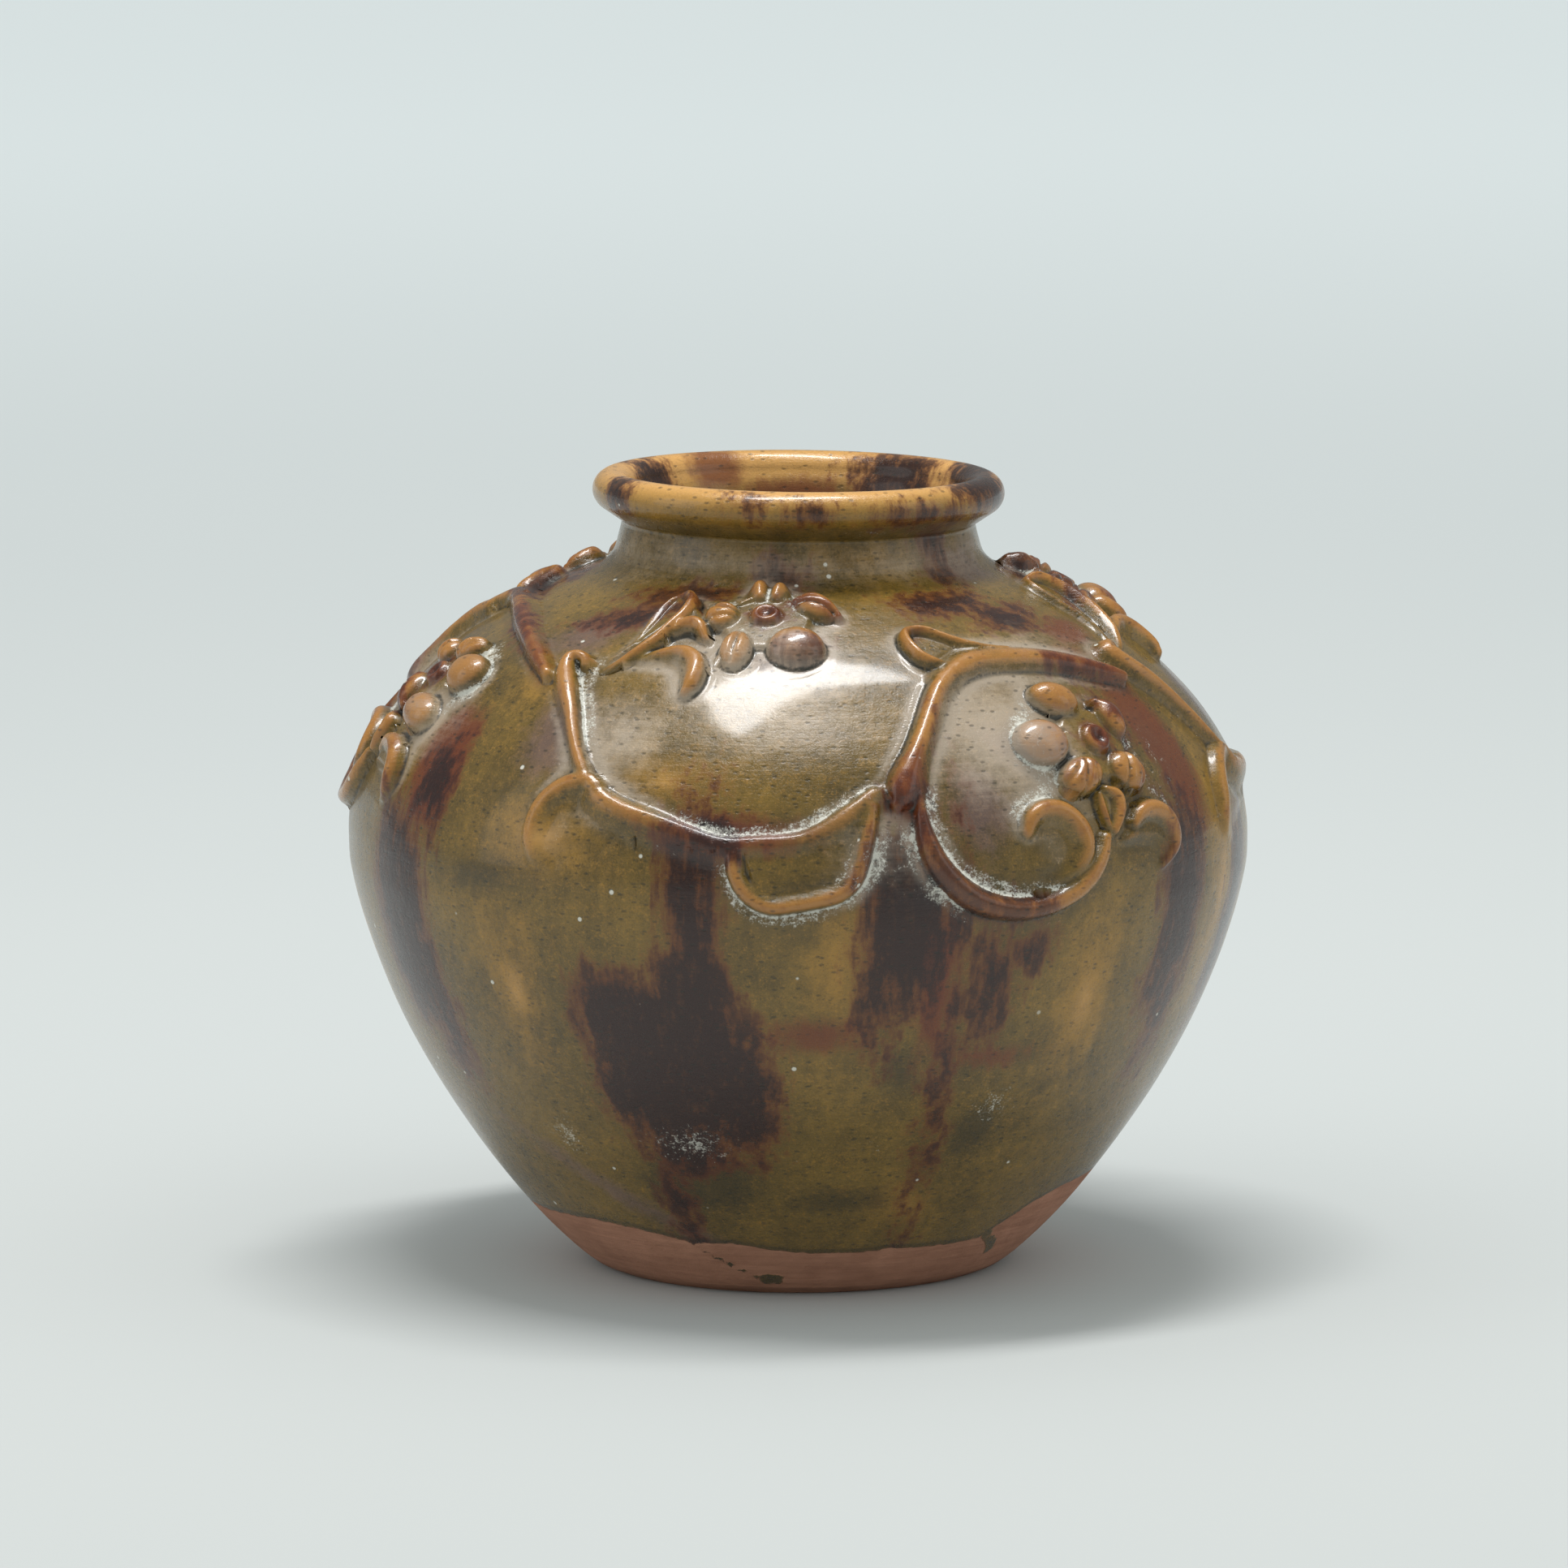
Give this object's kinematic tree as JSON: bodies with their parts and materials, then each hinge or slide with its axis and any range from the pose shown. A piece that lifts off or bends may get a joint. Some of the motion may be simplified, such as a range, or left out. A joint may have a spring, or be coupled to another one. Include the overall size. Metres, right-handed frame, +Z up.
{
  "type": "stoneware jar",
  "caption": "Globular glazed jar with a short neck, a rolled lip and a flowering vine in applied relief on its shoulder",
  "frame": {"origin": "centre of the flat base, on the surface the jar stands on", "axes": "+Z up along the jar's axis, -Y towards the pictured side"},
  "size_m": [0.2451, 0.2475, 0.2139],
  "materials": {
    "olive_glaze": "gloss",
    "amber_glaze": "gloss",
    "brown_glaze": "gloss"
  },
  "bodies": {
    "root": {"jar_body": "olive_glaze", "neck_and_lip": "amber_glaze", "hook_stem_1": "amber_glaze", "trough_stem_1": "olive_glaze", "hanging_leaf_1": "olive_glaze", "lobe_leaf_1": "amber_glaze", "calyx_blade_1": "amber_glaze", "calyx_sepal_1": "amber_glaze", "calyx_comma_leaf_1": "amber_glaze", "upper_flower_1": "brown_glaze", "upper_boss_1": "brown_glaze", "arch_stem_1": "amber_glaze", "bulb_stem_1": "amber_glaze", "loop_stem_1": "brown_glaze", "hook_leaf_1": "amber_glaze", "left_comma_leaf_1": "amber_glaze", "loop_sepal_1": "amber_glaze", "right_comma_leaf_1": "amber_glaze", "lower_flower_1": "brown_glaze", "lower_boss_1": "brown_glaze", "hook_stem_2": "amber_glaze", "trough_stem_2": "olive_glaze", "hanging_leaf_2": "olive_glaze", "lobe_leaf_2": "amber_glaze", "calyx_blade_2": "amber_glaze", "calyx_sepal_2": "amber_glaze", "calyx_comma_leaf_2": "amber_glaze", "upper_flower_2": "brown_glaze", "upper_boss_2": "brown_glaze", "arch_stem_2": "amber_glaze", "bulb_stem_2": "amber_glaze", "loop_stem_2": "brown_glaze", "hook_leaf_2": "amber_glaze", "left_comma_leaf_2": "amber_glaze", "loop_sepal_2": "amber_glaze", "right_comma_leaf_2": "amber_glaze", "lower_flower_2": "brown_glaze", "lower_boss_2": "brown_glaze", "hook_stem_3": "amber_glaze", "trough_stem_3": "olive_glaze", "hanging_leaf_3": "olive_glaze", "lobe_leaf_3": "amber_glaze", "calyx_blade_3": "amber_glaze", "calyx_sepal_3": "amber_glaze", "calyx_comma_leaf_3": "amber_glaze", "upper_flower_3": "brown_glaze", "upper_boss_3": "brown_glaze", "arch_stem_3": "amber_glaze", "bulb_stem_3": "amber_glaze", "loop_stem_3": "brown_glaze", "hook_leaf_3": "amber_glaze", "left_comma_leaf_3": "amber_glaze", "loop_sepal_3": "amber_glaze", "right_comma_leaf_3": "amber_glaze", "lower_flower_3": "brown_glaze", "lower_boss_3": "brown_glaze"}
  },
  "joints": []
}
